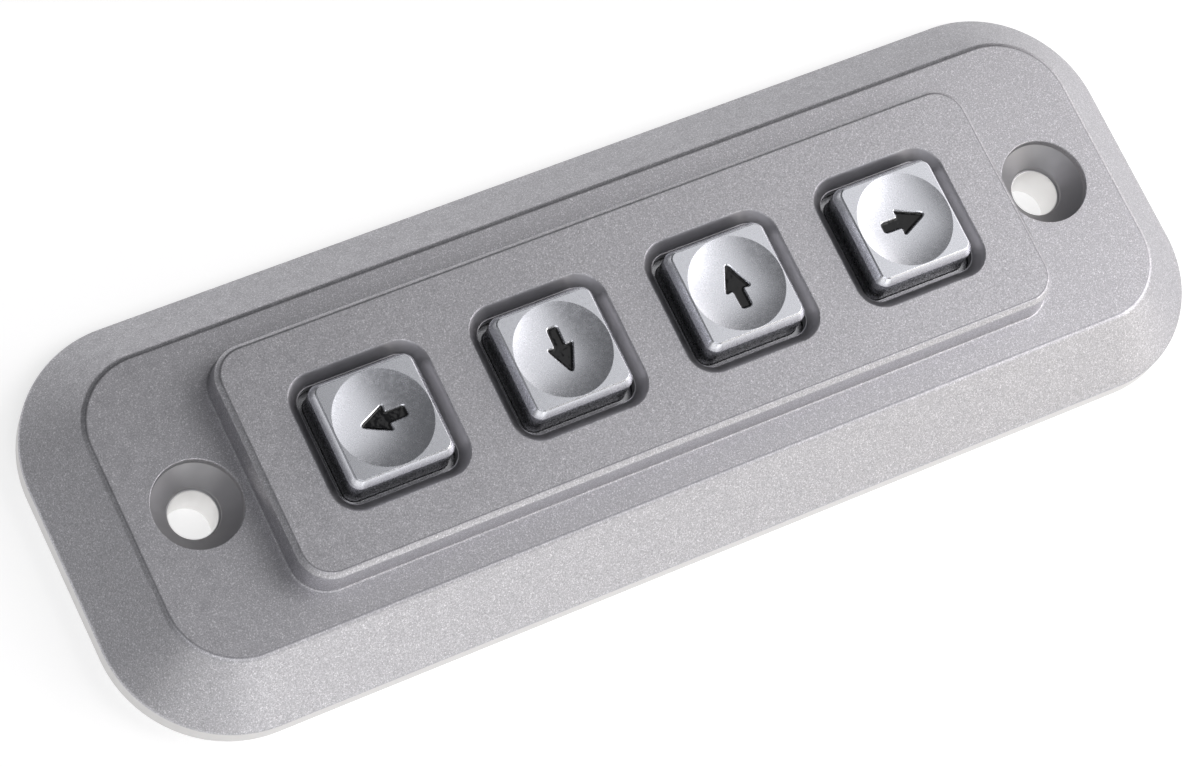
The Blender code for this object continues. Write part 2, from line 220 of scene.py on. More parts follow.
def fillet(half, radius, z, before, after, steps=5):
    """Sections round a soft edge.

    before and after are the (growth, rise) where the rounding starts and ends."""
    sections = []
    for step in range(steps + 1):
        t = step / steps
        growth = (1 - t) ** 2 * before[0] + t**2 * after[0]
        rise = (1 - t) ** 2 * before[1] + t**2 * after[1]
        sections.append((grown(half, growth), radius + growth, z + rise))
    return sections


def block(name, half, radius, bottom, top, edge=0.0, at=(0.0, 0.0), arc_steps=12):
    """A plate with round corners and, where edge is given, soft rims."""
    if not edge:
        return loft(name, [(half, radius, bottom), (half, radius, top)], at, arc_steps)
    sections = fillet(half, radius, bottom, (-edge, 0.0), (0.0, edge), 4)
    sections += fillet(half, radius, top, (0.0, -edge), (-edge, 0.0), 4)
    return loft(name, sections, at, arc_steps)


def turned(name, profile, at=(0.0, 0.0), steps=ROUND_STEPS):
    """A solid turned about Z from (radius, height) points that start and end on the axis, bottom first."""
    bm = bmesh.new()
    rows = []
    for radius, z in profile:
        if radius == 0.0:
            rows.append([bm.verts.new((at[0], at[1], z))])
            continue
        angles = [step / steps * 2 * pi for step in range(steps)]
        rows.append([bm.verts.new((at[0] + radius * cos(a), at[1] + radius * sin(a), z)) for a in angles])
    for lower, upper in zip(rows, rows[1:]):
        for i in range(steps):
            j = (i + 1) % steps
            below = [lower[i % len(lower)], lower[j % len(lower)]]
            above = [upper[j % len(upper)], upper[i % len(upper)]]
            corners = below + above
            bm.faces.new(list(dict.fromkeys(corners)))
    return add_object(name, bm)


def softened(profile, reach, steps=4):
    """A (radius, height) profile whose inner corners are rounded over by up to reach."""
    points = [Vector(point) for point in profile]
    made = [points[0]]
    for before, corner, after in zip(points, points[1:], points[2:]):
        near = min(reach, (before - corner).length * 0.45, (after - corner).length * 0.45)
        start = corner + (before - corner).normalized() * near
        end = corner + (after - corner).normalized() * near
        for step in range(steps + 1):
            t = step / steps
            made.append((1 - t) ** 2 * start + 2 * t * (1 - t) * corner + t**2 * end)
    made.append(points[-1])
    return [(max(point[0], 0.0), point[1]) for point in made]


def baked(obj):
    """Turns the object's modifiers into its mesh."""
    bpy.context.view_layer.update()
    evaluated = obj.evaluated_get(bpy.context.evaluated_depsgraph_get())
    mesh = bpy.data.meshes.new_from_object(evaluated)
    obj.modifiers.clear()
    obj.data = mesh
    return obj


def combine(target, others, operation="DIFFERENCE"):
    """Cuts or joins the others, then drops the zero-area slivers that this leaves where faces touch."""
    for other in others:
        modifier = target.modifiers.new(other.name, "BOOLEAN")
        modifier.operation = operation
        modifier.solver = "MANIFOLD"
        modifier.object = other
    baked(target)
    bm = bmesh.new()
    bm.from_mesh(target.data)
    bmesh.ops.dissolve_degenerate(bm, dist=SLIVER, edges=bm.edges)
    bm.to_mesh(target.data)
    bm.free()
    for other in others:
        bpy.data.objects.remove(other)
    return target


def piece(obj, body, look, nodes=(), sharp=32):
    """Finishes a piece: smooth where its edges are soft, on its body, in place of its CAD nodes."""
    obj.data.materials.clear()
    obj.data.materials.append(look)
    for face in obj.data.polygons:
        face.material_index = 0
    obj.data.shade_smooth()
    obj.data.set_sharp_from_angle(angle=radians(sharp))
    weighted = obj.modifiers.new("weighted_normals", "WEIGHTED_NORMAL")
    weighted.keep_sharp = True
    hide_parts(*nodes)
    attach(obj, body)
    return obj


# ---------------------------------------------------------------- materials


class Look:
    """A material with a Principled shader, with short calls for the nodes that vary it."""

    def __init__(self, name, colour, roughness, metallic=0.0, **sockets):
        self.material = bpy.data.materials.new(name)
        self.material.use_nodes = True
        self.tree = self.material.node_tree
        self.shader = self.tree.nodes["Principled BSDF"]
        self.shader.inputs["Base Color"].default_value = (*colour, 1.0)
        self.shader.inputs["Roughness"].default_value = roughness
        self.shader.inputs["Metallic"].default_value = metallic
        for socket, value in sockets.items():
            self.shader.inputs[socket.replace("_", " ")].default_value = value
        self.where = self.tree.nodes.new("ShaderNodeTexCoord").outputs["Object"]

    def link(self, source, target):
        self.tree.links.new(source, target)

    def noise(self, scale, detail=2.0, roughness=0.5, stretch=None):
        """Noise of so many waves a metre.

        stretch scales the coordinates, so that grain can run along one axis."""
        node = self.tree.nodes.new("ShaderNodeTexNoise")
        node.inputs["Scale"].default_value = scale
        node.inputs["Detail"].default_value = detail
        node.inputs["Roughness"].default_value = roughness
        where = self.where
        if stretch:
            mapping = self.tree.nodes.new("ShaderNodeMapping")
            mapping.inputs["Scale"].default_value = stretch
            self.link(where, mapping.inputs["Vector"])
            where = mapping.outputs["Vector"]
        self.link(where, node.inputs["Vector"])
        return node.outputs["Fac"]

    def cells(self, scale, output="Color"):
        """Voronoi cells, so many a metre: a random value for each, or the distance to its middle."""
        node = self.tree.nodes.new("ShaderNodeTexVoronoi")
        node.inputs["Scale"].default_value = scale
        self.link(self.where, node.inputs["Vector"])
        return node.outputs[output]

    def along(self, axis):
        """Metres along one axis of the CAD's frame, for a piece at rest."""
        node = self.tree.nodes.new("ShaderNodeSeparateXYZ")
        self.link(self.where, node.inputs["Vector"])
        return node.outputs[axis]

    def away(self, axis):
        """Metres from the middle of the keypad along one axis."""
        return self.math("ABSOLUTE", self.along(axis))

    def math(self, operation, a, b=0.0):
        """One Math node. a and b are sockets or numbers."""
        node = self.tree.nodes.new("ShaderNodeMath")
        node.operation = operation
        for socket, value in zip(node.inputs, (a, b)):
            if isinstance(value, float):
                socket.default_value = value
            else:
                self.link(value, socket)
        return node.outputs["Value"]

    def from_outline(self, half, radius):
        """Metres outwards from a rounded rectangle round the middle, as seen from above."""
        over_x = self.math("SUBTRACT", self.away("X"), half[0] - radius)
        over_y = self.math("SUBTRACT", self.away("Y"), half[1] - radius)
        corner_x = self.math("MAXIMUM", over_x)
        corner_y = self.math("MAXIMUM", over_y)
        squares = self.math("ADD", self.times(corner_x, corner_x), self.times(corner_y, corner_y))
        beyond = self.math("SQRT", squares)
        within = self.math("MINIMUM", self.math("MAXIMUM", over_x, over_y))
        return self.math("SUBTRACT", self.math("ADD", beyond, within), radius)

    def line(self, distance, at, width):
        """1 along a thin line at that distance, 0 elsewhere."""
        off = self.math("ABSOLUTE", self.math("SUBTRACT", distance, at))
        return self.ramp(off, width * 0.4, width, 1.0, 0.0)

    def from_holes(self):
        """Metres from the axis of the nearer mounting hole."""
        sideways = self.math("SUBTRACT", self.away("X"), HOLE_X)
        flat = self.tree.nodes.new("ShaderNodeCombineXYZ")
        self.link(sideways, flat.inputs["X"])
        self.link(self.along("Y"), flat.inputs["Y"])
        length = self.tree.nodes.new("ShaderNodeVectorMath")
        length.operation = "LENGTH"
        self.link(flat.outputs["Vector"], length.inputs[0])
        return length.outputs["Value"]

    def ramp(self, value, low, high, to_low=0.0, to_high=1.0):
        node = self.tree.nodes.new("ShaderNodeMapRange")
        for socket, number in zip(("From Min", "From Max", "To Min", "To Max"), (low, high, to_low, to_high)):
            node.inputs[socket].default_value = number
        self.link(value, node.inputs["Value"])
        return node.outputs["Result"]

    def times(self, a, b):
        return self.math("MULTIPLY", a, b)

    def blend(self, factor, colour_a, colour_b):
        """A colour between two, each a tuple or a socket."""
        node = self.tree.nodes.new("ShaderNodeMix")
        node.data_type = "RGBA"
        self.link(factor, node.inputs["Factor"])
        for socket, colour in ((node.inputs[6], colour_a), (node.inputs[7], colour_b)):
            if isinstance(colour, tuple):
                socket.default_value = (*colour, 1.0)
            else:
                self.link(colour, socket)
        return node.outputs[2]

    def colour(self, source):
        self.link(source, self.shader.inputs["Base Color"])

    def roughness(self, source, low, high):
        self.link(self.ramp(source, 0.3, 0.7, low, high), self.shader.inputs["Roughness"])

    def bump(self, height, depth, strength=1.0):
        """Adds relief of that depth in metres over what is there already."""
        node = self.tree.nodes.new("ShaderNodeBump")
        node.inputs["Strength"].default_value = strength
        node.inputs["Distance"].default_value = depth
        self.link(height, node.inputs["Height"])
        target = self.shader.inputs["Normal"]
        if target.is_linked:
            self.link(target.links[0].from_socket, node.inputs["Normal"])
        self.link(node.outputs["Normal"], target)


def silver_paint(top):
    """Sprayed silver paint: flakes in a fine random grain.

    Painted shade darkens it on the window walls, and painted shade lines run just inside the plateau's edge
    and the panel's top edge. It is darker and smoother in the countersinks. The lip is paler, a painted
    reflection of the bright floor, and the bored holes are bare metal made bright enough to stand in for
    light from below."""
    look = Look("silver_paint", (0.50, 0.495, 0.52), 0.48, 1.0)
    grain = look.noise(7500, detail=3.0, roughness=0.75)
    base = look.blend(look.ramp(grain, 0.32, 0.68), (0.34, 0.336, 0.356), (0.62, 0.615, 0.645))
    flakes = look.ramp(look.cells(11000), 0.66, 0.90)
    sprayed = look.blend(flakes, base, (0.76, 0.75, 0.78))
    # Painted shade on the window walls: below the face and near the keys, the paint gives way to a darker
    # flat grey.
    row_end = centre_of("keycap_right").x + WINDOW_REACH_X
    beside = look.times(look.ramp(look.away("X"), row_end, row_end + 0.0001, 1.0, 0.0),
                        look.ramp(look.away("Y"), WINDOW_REACH_Y, 0.0079, 1.0, 0.0))
    within = look.times(beside, look.ramp(look.along("Z"), top - 0.00012, top - 0.00002, 1.0, 0.0))
    sunk = look.times(look.ramp(look.from_holes(), SINK_RADIUS - 0.00001, SINK_RADIUS + 0.00001, 1.0, 0.0),
                      look.ramp(look.along("Z"), PLATEAU_TOP - 0.00015, PLATEAU_TOP - 0.00005, 1.0, 0.0))
    # The bored hole walls are bare metal whose colour is raised further to stand in for light coming up from
    # below, so partly painted light.
    bare_bore_and_light = look.ramp(look.from_holes(), HOLE_RADIUS + 0.00006, HOLE_RADIUS + 0.00009, 1.0, 0.0)
    window_shade_and_sink_tone = look.blend(sunk, look.blend(within, sprayed, (0.36, 0.357, 0.375)), (0.43, 0.426, 0.44))
    half = half_of("bezel")
    plateau = (half.x - PLATEAU_INSET[0], half.y - PLATEAU_INSET[1])
    panel = grown(FOOT_HALF, -PANEL_DRAFT - PANEL_EDGE)
    panel_radius = FOOT_RADIUS - PANEL_DRAFT - PANEL_EDGE
    # Painted shade: thin dark lines just inside the plateau's edge and the panel's top edge.
    plateau_shade_line = look.line(look.from_outline(plateau, PLATEAU_RADIUS), -0.00022, 0.00013)
    panel_shade_line = look.line(look.from_outline(panel, panel_radius), -0.00010, 0.00010)
    shade_lines = look.math("MAXIMUM", plateau_shade_line, panel_shade_line)
    line_shaded = look.blend(look.math("MULTIPLY", shade_lines, 0.55), window_shade_and_sink_tone, (0.16, 0.16, 0.17))
    # Painted reflection: the lip's outer band is made pale, standing in for the bright floor reflected in it.
    lip = look.ramp(look.along("Z"), LIP_TOP - 0.0003, LIP_TOP - 0.0001, 1.0, 0.0)
    outside = look.ramp(look.from_outline((half.x, half.y), BASE_RADIUS), -0.0007, -0.0006)
    lip_painted_reflection = look.blend(look.times(lip, outside), line_shaded, (0.67, 0.66, 0.655))
    look.colour(look.blend(bare_bore_and_light, lip_painted_reflection, (0.93, 0.92, 0.91)))
    look.roughness(look.noise(900), 0.45, 0.53)
    look.bump(look.noise(1500), 0.000004, 0.5)
    coarse = look.times(look.ramp(within, 0.0, 1.0, 1.0, 0.3), look.ramp(sunk, 0.0, 1.0, 1.0, 0.4))
    look.bump(look.times(grain, coarse), 0.000010, 0.7)
    return look.material


def satin_chrome():
    """Satin chrome plating with fine grain and a few pits, darkened low down on the key's sides by painted
    shade.
    """
    look = Look("satin_chrome", (0.80, 0.80, 0.83), 0.26, 1.0)
    grain = look.noise(9000, detail=2.0)
    plating = look.blend(look.ramp(grain, 0.3, 0.7), (0.77, 0.78, 0.83), (0.81, 0.82, 0.87))
    # Painted shade: low down, where the key's sides sit in the window, the plating is darkened to a dull
    # grey.
    look.colour(look.blend(look.ramp(look.along("Z"), 0.0100, 0.0121), (0.40, 0.40, 0.415), plating))
    look.roughness(look.noise(2500), 0.24, 0.29)
    look.bump(grain, 0.0000012, 0.6)
    near_middle = look.ramp(look.cells(1100, "Distance"), 0.06, 0.11, 1.0, 0.0)
    chosen = look.ramp(look.cells(1100), 0.72, 0.73)
    look.bump(look.times(near_middle, chosen), 0.00003, -1.0)
    return look.material


def arrow_ink():
    """Glossy black filling, a little lumpy."""
    look = Look("arrow_ink", (0.008, 0.008, 0.009), 0.14, Specular_IOR_Level=0.40)
    look.roughness(look.noise(4000), 0.07, 0.18)
    look.colour(look.blend(look.noise(3000), (0.006, 0.006, 0.007), (0.013, 0.013, 0.014)))
    look.bump(look.noise(1500, detail=1.0), 0.00010, 0.7)
    return look.material


def silicone():
    look = Look("silicone", (0.030, 0.030, 0.032), 0.62)
    look.colour(look.blend(look.noise(1200), (0.024, 0.024, 0.026), (0.040, 0.040, 0.042)))
    look.roughness(look.noise(2500), 0.55, 0.72)
    look.bump(look.noise(6000), 0.00001, 0.5)
    return look.material


def carbon():
    look = Look("carbon", (0.012, 0.012, 0.012), 0.70)
    look.colour(look.blend(look.noise(9000, detail=4.0), (0.008, 0.008, 0.008), (0.028, 0.028, 0.028)))
    look.roughness(look.noise(5000), 0.6, 0.85)
    look.bump(look.noise(12000), 0.000012, 0.6)
    return look.material


def board_laminate():
    """Green solder mask over woven glass, whose threads show faintly."""
    look = Look("board_laminate", (0.02, 0.12, 0.05), 0.38, Coat_Weight=0.3, Coat_Roughness=0.2)
    along = look.noise(900, stretch=(4.0, 0.4, 1.0))
    across = look.noise(900, stretch=(0.4, 4.0, 1.0))
    weave = look.times(along, across)
    look.colour(look.blend(look.ramp(weave, 0.15, 0.38), (0.012, 0.085, 0.035), (0.03, 0.16, 0.07)))
    look.roughness(look.noise(700), 0.32, 0.46)
    look.bump(weave, 0.00002, 0.5)
    return look.material


def black_plastic():
    look = Look("black_plastic", (0.018, 0.018, 0.018), 0.48)
    look.colour(look.blend(look.noise(2000), (0.014, 0.014, 0.014), (0.026, 0.026, 0.026)))
    look.roughness(look.noise(3000), 0.40, 0.56)
    look.bump(look.noise(9000), 0.000008, 0.5)
    return look.material


def gold_plate():
    look = Look("gold_plate", (0.83, 0.62, 0.26), 0.24, 1.0)
    look.colour(look.blend(look.noise(4000), (0.78, 0.57, 0.22), (0.88, 0.68, 0.32)))
    look.roughness(look.noise(6000, stretch=(4.0, 4.0, 0.4)), 0.18, 0.34)
    look.bump(look.noise(9000, stretch=(4.0, 4.0, 0.3)), 0.000004, 0.5)
    return look.material


def zinc_sheet():
    """Zinc-plated sheet with a faint rolled grain along X and cloudy passivation."""
    look = Look("zinc_sheet", (0.62, 0.63, 0.63), 0.36, 1.0)
    clouds = look.noise(160, detail=4.0)
    look.colour(look.blend(look.ramp(clouds, 0.3, 0.7), (0.54, 0.55, 0.56), (0.68, 0.68, 0.66)))
    rolled = look.noise(2600, detail=3.0, stretch=(0.06, 2.0, 1.0))
    look.roughness(rolled, 0.28, 0.46)
    look.bump(rolled, 0.000008, 0.5)
    look.bump(look.noise(7000), 0.000004, 0.4)
    return look.material


def zinc_screw():
    look = Look("zinc_screw", (0.66, 0.66, 0.67), 0.30, 1.0)
    look.colour(look.blend(look.noise(1800), (0.58, 0.58, 0.60), (0.72, 0.72, 0.71)))
    look.roughness(look.noise(5000), 0.22, 0.40)
    look.bump(look.noise(8000), 0.000006, 0.5)
    return look.material


def gasket_rubber():
    look = Look("gasket_rubber", (0.020, 0.020, 0.021), 0.78)
    look.colour(look.blend(look.noise(3000, detail=4.0), (0.014, 0.014, 0.015), (0.034, 0.034, 0.035)))
    look.roughness(look.noise(1500), 0.68, 0.88)
    look.bump(look.noise(5000, detail=4.0), 0.00002, 0.6)
    return look.material


# ---------------------------------------------------------------- bezel


def bezel_sections(half, top):
    """The outside of the casting: a low lip, a wide slope, the plateau and the raised panel."""
    plateau = (half[0] - PLATEAU_INSET[0], half[1] - PLATEAU_INSET[1])
    slope = Vector((-PLATEAU_INSET[0], PLATEAU_TOP - LIP_TOP)).normalized()
    wall_top = grown(FOOT_HALF, -PANEL_DRAFT)
    wall_radius = FOOT_RADIUS - PANEL_DRAFT
    panel = grown(wall_top, -PANEL_EDGE)
    lip, brow, foot, rim = 0.00025, 0.00040, 0.00022, 0.00012
    sections = fillet(half, BASE_RADIUS, 0.0, (-0.0001, 0.0), (0.0, 0.0001), 3)
    sections += fillet(half, BASE_RADIUS, LIP_TOP, (0.0, -lip), tuple(slope * lip))
    sections += fillet(plateau, PLATEAU_RADIUS, PLATEAU_TOP, tuple(-slope * brow), (-brow, 0.0), 7)
    sections += fillet(FOOT_HALF, FOOT_RADIUS, PLATEAU_TOP, (foot, 0.0), (0.0, foot))
    sections += fillet(wall_top, wall_radius, top - PANEL_EDGE, (0.0, -rim), (-rim, rim), 4)
    sections += fillet(panel, wall_radius - PANEL_EDGE, top, (rim, -rim), (-rim, 0.0), 4)
    return sections


def window_cutter(name, x, top):
    """The opening for one key: a crisp edge, a slope that steepens inwards, and a ledge at its foot."""
    half = (WINDOW_HALF, WINDOW_HALF)
    steps = 9
    profile = [(0.0, KEY_POCKET_TOP - BEYOND - top), (0.0, -WINDOW_RIM_DROP - WINDOW_RIM / 3)]
    for step in range(steps + 1):
        t = step / steps
        profile.append((WINDOW_RIM + WINDOW_SLOPE * t, -WINDOW_RIM_DROP * (1 - t) ** 1.25))
    # The last stretch runs on past the front face, so that it crosses it cleanly.
    (before, rise), (last, _) = profile[-2:]
    profile.append((2 * last - before, -rise))
    sections = [(grown(half, growth), WINDOW_RADIUS + growth, top + rise) for growth, rise in profile]
    return loft(name, sections, at=(x, 0.0))


def sink_cutter(name, x, top):
    cone_top = PLATEAU_TOP - SINK_LAND
    cone_foot = cone_top - (SINK_RADIUS - SINK_FOOT_RADIUS)
    rim = 0.00014
    profile = [
        (0.0, -BEYOND),
        (HOLE_RADIUS, -BEYOND),
        (HOLE_RADIUS, cone_foot - SINK_FOOT_LAND),
        (SINK_FOOT_RADIUS, cone_foot - SINK_FOOT_LAND),
        (SINK_FOOT_RADIUS, cone_foot),
        (SINK_RADIUS, cone_top),
        (SINK_RADIUS, PLATEAU_TOP - rim),
        (SINK_RADIUS + rim * 0.3, PLATEAU_TOP - rim * 0.3),
        (SINK_RADIUS + rim * 1.3, PLATEAU_TOP + rim * 0.3),
        (SINK_RADIUS + rim * 1.3, top + BEYOND),
        (0.0, top + BEYOND),
    ]
    return turned(name, softened(profile, 0.00008, 3), at=(x, 0.0))


def ring_cutter(name, outer, radius, width, bottom, top):
    ring = block(name, outer, radius, bottom, top, arc_steps=24)
    core = block(name + "_core", grown(outer, -width), radius - width, bottom - BEYOND, top + BEYOND,
                 arc_steps=24)
    return combine(ring, [core])


def screw_places():
    names = sorted(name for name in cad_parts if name.startswith("cover_screw_"))
    return {name: tuple(centre_of(name).xy) for name in names}


def rod(name, radius, bottom, top, at, edge=0.0):
    profile = [(0.0, bottom), (radius, bottom), (radius, top), (0.0, top)]
    return turned(name, softened(profile, edge) if edge else profile, at, 48)


def make_bezel(look):
    half = half_of("bezel")
    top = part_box("bezel")[1].z
    bezel = loft("bezel_casting", bezel_sections((half.x, half.y), top), arc_steps=28)
    pockets = [
        block("pocket", POCKET_HALF, POCKET_RADIUS, -BEYOND, POCKET_TOP),
        block("key_pocket", KEY_POCKET_HALF, POCKET_RADIUS, 0.0, KEY_POCKET_TOP),
    ]
    for sx in (-1, 1):
        for sy in (-1, 1):
            at = (sx * END_POCKET_AT[0], sy * END_POCKET_AT[1])
            name = f"end_pocket_{sx}_{sy}"
            pockets.append(block(name, END_POCKET_HALF, POCKET_RADIUS, -BEYOND, END_POCKET_TOP, at=at))
    combine(bezel, pockets)
    boss_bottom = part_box("rear_cover")[0].z + BOSS_RISE
    bosses = []
    holes = []
    for name, at in screw_places().items():
        bosses.append(rod(f"{name}_boss", BOSS_RADIUS, boss_bottom, POCKET_TOP + BEYOND / 2, at, 0.00015))
        holes.append(rod(f"{name}_hole", BOSS_HOLE_RADIUS, 0.0, BOSS_HOLE_TOP, at))
    combine(bezel, bosses, "UNION")
    combine(bezel, holes)
    outer = (half.x - GROOVE_INSET, half.y - GROOVE_INSET)
    groove = ring_cutter("groove", outer, BASE_RADIUS - GROOVE_INSET, GROOVE_WIDTH, -BEYOND, GROOVE_DEPTH)
    cutters = [groove]
    cutters += [sink_cutter(f"sink_{side}", side * HOLE_X, top) for side in (-1, 1)]
    cutters += [window_cutter(f"window_{name}", centre_of(f"keycap_{name}").x, top) for name in HEADINGS]
    combine(bezel, cutters)
    return piece(bezel, "housing", look, ["bezel"])


# ---------------------------------------------------------------- keys


def dish_drop(x, y):
    """How far the dish lies below its rim at a point measured from its middle."""
    sphere = (DISH_RADIUS**2 + DISH_DEPTH**2) / (2 * DISH_DEPTH)
    return DISH_DEPTH - (sphere - sqrt(sphere**2 - x * x - y * y))


def dish_cutter(name, x, top):
    sphere = (DISH_RADIUS**2 + DISH_DEPTH**2) / (2 * DISH_DEPTH)
    lid = top + DISH_DEPTH
    widest = sqrt(sphere**2 - (sphere - 2 * DISH_DEPTH) ** 2)
    steps = 24
    profile = []
    for step in range(steps + 1):
        radius = widest * step / steps
        profile.append((radius, top - DISH_DEPTH + sphere - sqrt(sphere**2 - radius**2)))
    profile.append((0.0, lid))
    return turned(name, profile, at=(x, 0.0))


def arrow_corners():
    """The arrow's sharp corners along +X, counter-clockwise, centred on its length."""
    tip = ARROW_LENGTH / 2
    neck = tip - HEAD_LENGTH
    upper = [
        (tip, 0.0),
        (neck - HEAD_SWEEP, HEAD_WIDTH / 2),
        (neck, SHAFT_WIDTH / 2),
        (-tip, SHAFT_WIDTH / 2),
    ]
    return [Vector(corner) for corner in upper + [(x, -y) for x, y in reversed(upper[1:])]]


def arrow_outline(heading, growth):
    """The arrow's outline with round corners, grown outwards and turned to its heading.

    Its straight sides carry points too, so that a ring can follow the dish."""
    corners = arrow_corners()
    arc_steps = 6
    side_steps = 10
    turn = Matrix.Rotation(radians(heading), 2)
    rounded = []
    for i, corner in enumerate(corners):
        back = (corners[i - 1] - corner).normalized()
        on = (corners[(i + 1) % len(corners)] - corner).normalized()
        spread = growth if back.cross(on) < 0 else growth * 0.9
        reach = ARROW_ROUNDING * (2.0 if i == 0 else 1.0)
        normals = (Vector((-back.y, back.x)), Vector((on.y, -on.x)))
        arc = []
        for step in range(arc_steps + 1):
            t = step / arc_steps
            normal = (normals[0] * (1 - t) + normals[1] * t).normalized()
            arc.append(corner + (1 - t) ** 2 * back * reach + t**2 * on * reach + normal * spread)
        rounded.append(arc)
    points = []
    for arc, following in zip(rounded, rounded[1:] + rounded[:1]):
        points += arc
        points += [arc[-1].lerp(following[0], step / side_steps) for step in range(1, side_steps)]
    return [turn @ point for point in points]


def arrow_cutter(name, heading, x, top):
    """A straight-walled recess whose rim is chamfered all along the dish."""
    inner = arrow_outline(heading, 0.0)
    floor = top - DISH_DEPTH - ARROW_DEPTH
    rings = [[(p.x, p.y, floor) for p in inner]]
    lip_shares = ((0.0, -1.0), (0.35, -0.4), (1.0, 0.0), (1.4, 0.2))  # outwards and up, in lip widths
    for growth, rise in [(out * ARROW_LIP, up * ARROW_LIP) for out, up in lip_shares]:
        ring = []
        for p in arrow_outline(heading, growth):
            ring.append((p.x, p.y, top - dish_drop(p.x, p.y) + rise))
        rings.append(ring)
    rings.append([(x_, y_, top + BEYOND) for x_, y_, _ in rings[-1]])
    return skin(name, rings, at=(x, 0.0))


def keycap_sections(half, bottom, top):
    """The key from its flange up: straight sides, a slightly bulging bevel, a narrow facet and the flat."""
    flange = (half.x, half.y)
    body = (KEY_HALF, KEY_HALF)
    flat = (FLAT_HALF, FLAT_HALF)
    flange_top = bottom + FLANGE_THICKNESS
    soft = 0.00012
    sections = fillet(flange, FLANGE_RADIUS, bottom, (-soft, 0.0), (0.0, soft), 10)
    sections += fillet(flange, FLANGE_RADIUS, flange_top, (0.0, -soft), (-soft, 0.0), 10)
    sections += fillet(body, KEY_RADIUS, flange_top, (soft, 0.0), (0.0, soft), 10)
    # From the foot of the bevel up to the facet, with a soft turn at the foot and a slight bulge above it.
    wide = KEY_HALF - FLAT_HALF - FACET_WIDTH
    tall = BEVEL_HEIGHT - FACET_HEIGHT
    foot = top - BEVEL_HEIGHT
    turn = 0.00007
    sections += fillet(body, KEY_RADIUS, foot, (0.0, -turn), (-turn * 0.5, turn * 0.8), 5)
    steps = 8
    for step in range(2, steps + 1):
        t = step / steps
        inset = wide * (t + 0.16 * t * (t - 1))
        sections.append((grown(body, -inset), KEY_RADIUS - inset * 0.7, foot + tall * t))
    ledge = 0.00002
    sections.append((grown(flat, FACET_WIDTH), FLAT_RADIUS + FACET_WIDTH, top - FACET_HEIGHT + ledge / 4))
    sections += fillet(flat, FLAT_RADIUS, top, (ledge, -ledge / 2), (-ledge, 0.0), 6)
    return sections


def make_key(name, heading, metal, ink):
    node = f"keycap_{name}"
    half = half_of(node)
    x = centre_of(node).x
    low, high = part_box(node)
    cap = loft(f"key_{name}", keycap_sections(half, low.z, high.z), at=(x, 0.0), arc_steps=12)
    combine(cap, [dish_cutter(f"dish_{name}", x, high.z)])
    combine(cap, [arrow_cutter(f"recess_{name}", heading, x, high.z)])
    piece(cap, f"key_{name}", metal, [node], sharp=9)
    make_arrow(name, heading, x, high.z, ink)


def make_arrow(name, heading, x, top, ink):
    """The infill: its top is sunk a little below the dish and sags towards its middle line."""
    clearance = 0.00001
    sag = 0.00013
    floor = top - DISH_DEPTH - ARROW_DEPTH + clearance
    rings = []
    for growth, rise in ((-clearance, None), (-clearance, 0.0), (-0.00008, -sag * 0.7), (-0.00020, -sag)):
        ring = []
        for place, p in zip(arrow_outline(heading, 0.0), arrow_outline(heading, growth)):
            surface = top - dish_drop(place.x, place.y) - INK_DROP
            ring.append((p.x, p.y, floor if rise is None else surface + rise))
        rings.append(ring)
    fill = skin(f"ink_{name}", rings, at=(x, 0.0))
    piece(fill, f"key_{name}", ink, [f"arrow_{name}"], sharp=50)


# ---------------------------------------------------------------- switch stack


def make_dome(name, look):
    """One collapsing dome of the key mat, built in its rest shape with a mesh of its own."""
    node = f"dome_{name}"
    low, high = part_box(node)
    foot_inner = DOME_FOOT_RADIUS - DOME_WALL
    rim_top = low.z + DOME_RIM_HEIGHT
    ceiling = high.z - DOME_WALL
    profile = [
        (0.0, ceiling),
        (DOME_TOP_RADIUS - DOME_WALL / 2, ceiling),
        (foot_inner, rim_top - DOME_WALL / 2),
        (foot_inner, low.z),
        (DOME_FOOT_RADIUS, low.z),
        (DOME_FOOT_RADIUS, rim_top),
        (DOME_FOOT_RADIUS - DOME_WALL / 2, rim_top),
        (DOME_TOP_RADIUS, high.z),
        (0.0, high.z),
    ]
    dome = turned(f"{node}_silicone", softened(profile, 0.0003), at=tuple(centre_of(node).xy), steps=64)
    piece(dome, "housing", look, [node], sharp=60)
    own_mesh(dome)


def make_contact(name, look):
    node = f"contact_{name}"
    low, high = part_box(node)
    pill = rod(f"{node}_pill", half_of(node).x, low.z, high.z, tuple(centre_of(node).xy), CONTACT_EDGE)
    piece(pill, f"key_{name}", look, [node])


def make_keymat(look):
    half = half_of("keymat")
    low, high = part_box("keymat")
    mat = block("keymat_sheet", (half.x, half.y), POCKET_RADIUS, low.z, high.z, 0.0001)
    openings = []
    for name in HEADINGS:
        at = tuple(centre_of(f"dome_{name}").xy)
        openings.append(rod(f"opening_{name}", MAT_OPENING_RADIUS, low.z - BEYOND, high.z + BEYOND, at))
    combine(mat, openings)
    piece(mat, "housing", look, ["keymat"])


